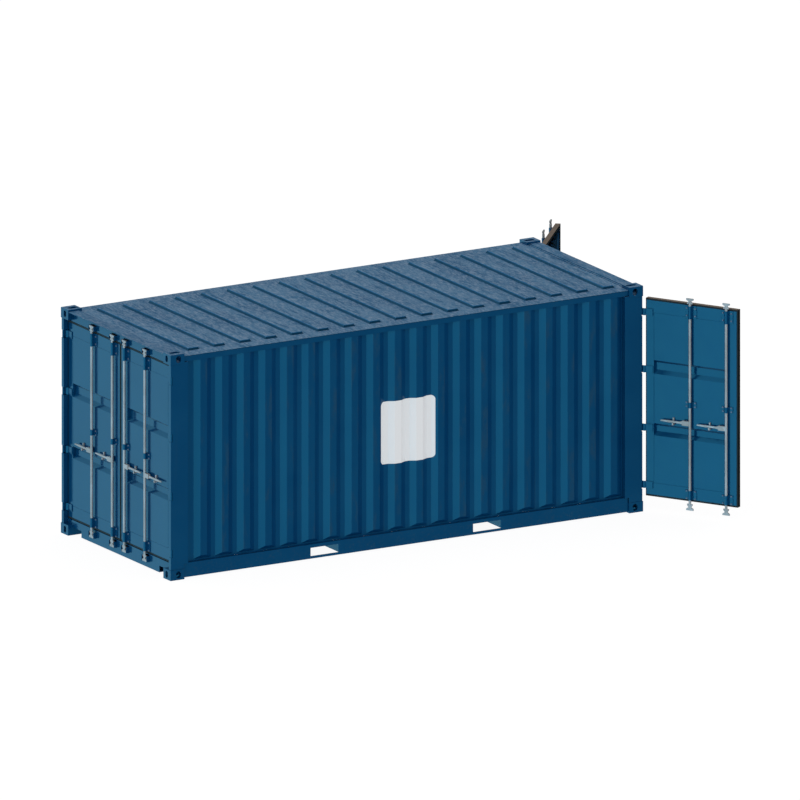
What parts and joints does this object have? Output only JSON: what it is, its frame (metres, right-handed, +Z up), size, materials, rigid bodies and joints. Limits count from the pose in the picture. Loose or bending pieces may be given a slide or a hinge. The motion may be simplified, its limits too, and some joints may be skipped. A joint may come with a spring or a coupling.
{
  "type": "shipping container",
  "caption": "Steel freight container with ridged side walls, corner castings, forklift pockets and a pair of hinged doors with lock rods at each end.",
  "frame": {"origin": "middle of the four slots in the undersides of the bottom corner castings", "axes": "+X along the length towards the end whose doors stand open, +Y across to the right-hand wall, +Z up"},
  "size_m": [6.886, 4.2761, 2.591],
  "materials": {
    "body_paint": "satin blue paint over steel",
    "weathered_roof_paint": "the same blue, chalked and scratched",
    "galvanised_rod": "dull zinc coating",
    "galvanised_forging": "bright zinc coating",
    "seal_rubber": "matt black extrusion",
    "floor_plywood": "varnished plywood"
  },
  "bodies": {
    "root": {"bottom_corner_castings": "body_paint", "top_corner_castings": "body_paint", "corner_posts": "body_paint", "hinge_pins": "galvanised_rod", "bottom_side_rails": "body_paint", "top_side_rails": "body_paint", "forklift_pockets": "body_paint", "cross_members": "body_paint", "floor": "floor_plywood", "side_walls": "body_paint", "roof_panel": "weathered_roof_paint", "door_headers": "body_paint", "door_sills": "body_paint", "cam_keepers": "body_paint"},
    "front_left_door": {"front_left_door_frame": "body_paint", "front_left_door_panel": "body_paint", "front_left_door_seal": "seal_rubber", "front_left_door_hinges": "body_paint", "front_left_rod_brackets": "body_paint", "front_left_handle_catches": "galvanised_forging"},
    "front_left_outer_lock_rod": {"front_left_outer_lock_rod": "galvanised_rod"},
    "front_left_outer_handle": {"front_left_outer_handle": "galvanised_forging"},
    "front_left_inner_lock_rod": {"front_left_inner_lock_rod": "galvanised_rod"},
    "front_left_inner_handle": {"front_left_inner_handle": "galvanised_forging"},
    "front_right_door": {"front_right_door_frame": "body_paint", "front_right_door_panel": "body_paint", "front_right_door_seal": "seal_rubber", "front_right_door_hinges": "body_paint", "front_right_rod_brackets": "body_paint", "front_right_handle_catches": "galvanised_forging"},
    "front_right_outer_lock_rod": {"front_right_outer_lock_rod": "galvanised_rod"},
    "front_right_outer_handle": {"front_right_outer_handle": "galvanised_forging"},
    "front_right_inner_lock_rod": {"front_right_inner_lock_rod": "galvanised_rod"},
    "front_right_inner_handle": {"front_right_inner_handle": "galvanised_forging"},
    "rear_left_door": {"rear_left_door_frame": "body_paint", "rear_left_door_panel": "body_paint", "rear_left_door_seal": "seal_rubber", "rear_left_door_hinges": "body_paint", "rear_left_rod_brackets": "body_paint", "rear_left_handle_catches": "galvanised_forging"},
    "rear_left_outer_lock_rod": {"rear_left_outer_lock_rod": "galvanised_rod"},
    "rear_left_outer_handle": {"rear_left_outer_handle": "galvanised_forging"},
    "rear_left_inner_lock_rod": {"rear_left_inner_lock_rod": "galvanised_rod"},
    "rear_left_inner_handle": {"rear_left_inner_handle": "galvanised_forging"},
    "rear_right_door": {"rear_right_door_frame": "body_paint", "rear_right_door_panel": "body_paint", "rear_right_door_seal": "seal_rubber", "rear_right_door_hinges": "body_paint", "rear_right_rod_brackets": "body_paint", "rear_right_handle_catches": "galvanised_forging"},
    "rear_right_outer_lock_rod": {"rear_right_outer_lock_rod": "galvanised_rod"},
    "rear_right_outer_handle": {"rear_right_outer_handle": "galvanised_forging"},
    "rear_right_inner_lock_rod": {"rear_right_inner_lock_rod": "galvanised_rod"},
    "rear_right_inner_handle": {"rear_right_inner_handle": "galvanised_forging"}
  },
  "joints": [
    {"name": "front_left_door_hinge", "type": "hinge", "parent": "root", "child": "front_left_door", "pos_m": [-3.01, -1.2, 1.3], "axis": [0, 0, -1], "range_deg": [-270, 0]},
    {"name": "front_left_outer_lock_rod_turn", "type": "hinge", "parent": "front_left_door", "child": "front_left_outer_lock_rod", "pos_m": [-2.997, -0.59, 1.075], "axis": [0, 0, -1], "range_deg": [0, 110]},
    {"name": "front_left_outer_handle_lift", "type": "hinge", "parent": "front_left_outer_lock_rod", "child": "front_left_outer_handle", "pos_m": [-2.997, -0.662, 1.075], "axis": [-1, 0, 0], "range_deg": [0, 12]},
    {"name": "front_left_inner_lock_rod_turn", "type": "hinge", "parent": "front_left_door", "child": "front_left_inner_lock_rod", "pos_m": [-2.997, -0.134, 1.075], "axis": [0, 0, -1], "range_deg": [0, 110]},
    {"name": "front_left_inner_handle_lift", "type": "hinge", "parent": "front_left_inner_lock_rod", "child": "front_left_inner_handle", "pos_m": [-2.997, -0.206, 1.075], "axis": [-1, 0, 0], "range_deg": [0, 12]},
    {"name": "front_right_door_hinge", "type": "hinge", "parent": "root", "child": "front_right_door", "pos_m": [-3.01, 1.2, 1.3], "axis": [0, 0, 1], "range_deg": [-270, 0]},
    {"name": "front_right_outer_lock_rod_turn", "type": "hinge", "parent": "front_right_door", "child": "front_right_outer_lock_rod", "pos_m": [-2.997, 0.59, 1.075], "axis": [0, 0, 1], "range_deg": [0, 110]},
    {"name": "front_right_outer_handle_lift", "type": "hinge", "parent": "front_right_outer_lock_rod", "child": "front_right_outer_handle", "pos_m": [-2.997, 0.662, 1.075], "axis": [1, 0, 0], "range_deg": [0, 12]},
    {"name": "front_right_inner_lock_rod_turn", "type": "hinge", "parent": "front_right_door", "child": "front_right_inner_lock_rod", "pos_m": [-2.997, 0.134, 1.075], "axis": [0, 0, 1], "range_deg": [0, 110]},
    {"name": "front_right_inner_handle_lift", "type": "hinge", "parent": "front_right_inner_lock_rod", "child": "front_right_inner_handle", "pos_m": [-2.997, 0.206, 1.075], "axis": [1, 0, 0], "range_deg": [0, 12]},
    {"name": "rear_left_door_hinge", "type": "hinge", "parent": "root", "child": "rear_left_door", "pos_m": [3.01, -1.2, 1.3], "axis": [0, 0, 1], "range_deg": [-122, 148]},
    {"name": "rear_left_outer_lock_rod_turn", "type": "hinge", "parent": "rear_left_door", "child": "rear_left_outer_lock_rod", "pos_m": [3.34428, -1.71042, 1.075], "axis": [0, 0, 1], "range_deg": [0, 110]},
    {"name": "rear_left_outer_handle_lift", "type": "hinge", "parent": "rear_left_outer_lock_rod", "child": "rear_left_outer_handle", "pos_m": [3.30612, -1.64936, 1.075], "axis": [0.848, 0.5299, 0], "range_deg": [0, 12]},
    {"name": "rear_left_inner_lock_rod_turn", "type": "hinge", "parent": "rear_left_door", "child": "rear_left_inner_lock_rod", "pos_m": [3.58592, -2.09713, 1.075], "axis": [0, 0, 1], "range_deg": [0, 110]},
    {"name": "rear_left_inner_handle_lift", "type": "hinge", "parent": "rear_left_inner_lock_rod", "child": "rear_left_inner_handle", "pos_m": [3.54776, -2.03607, 1.075], "axis": [0.848, 0.5299, 0], "range_deg": [0, 12]},
    {"name": "rear_right_door_hinge", "type": "hinge", "parent": "root", "child": "rear_right_door", "pos_m": [3.01, 1.2, 1.3], "axis": [0, 0, -1], "range_deg": [-130, 140]},
    {"name": "rear_right_outer_lock_rod_turn", "type": "hinge", "parent": "rear_right_door", "child": "rear_right_outer_lock_rod", "pos_m": [3.41206, 1.65893, 1.075], "axis": [0, 0, -1], "range_deg": [0, 110]},
    {"name": "rear_right_outer_handle_lift", "type": "hinge", "parent": "rear_right_outer_lock_rod", "child": "rear_right_outer_handle", "pos_m": [3.36578, 1.60378, 1.075], "axis": [-0.766, 0.6428, 0], "range_deg": [0, 12]},
    {"name": "rear_right_inner_lock_rod_turn", "type": "hinge", "parent": "rear_right_door", "child": "rear_right_inner_lock_rod", "pos_m": [3.70517, 2.00825, 1.075], "axis": [0, 0, -1], "range_deg": [0, 110]},
    {"name": "rear_right_inner_handle_lift", "type": "hinge", "parent": "rear_right_inner_lock_rod", "child": "rear_right_inner_handle", "pos_m": [3.65889, 1.95309, 1.075], "axis": [-0.766, 0.6428, 0], "range_deg": [0, 12]}
  ]
}
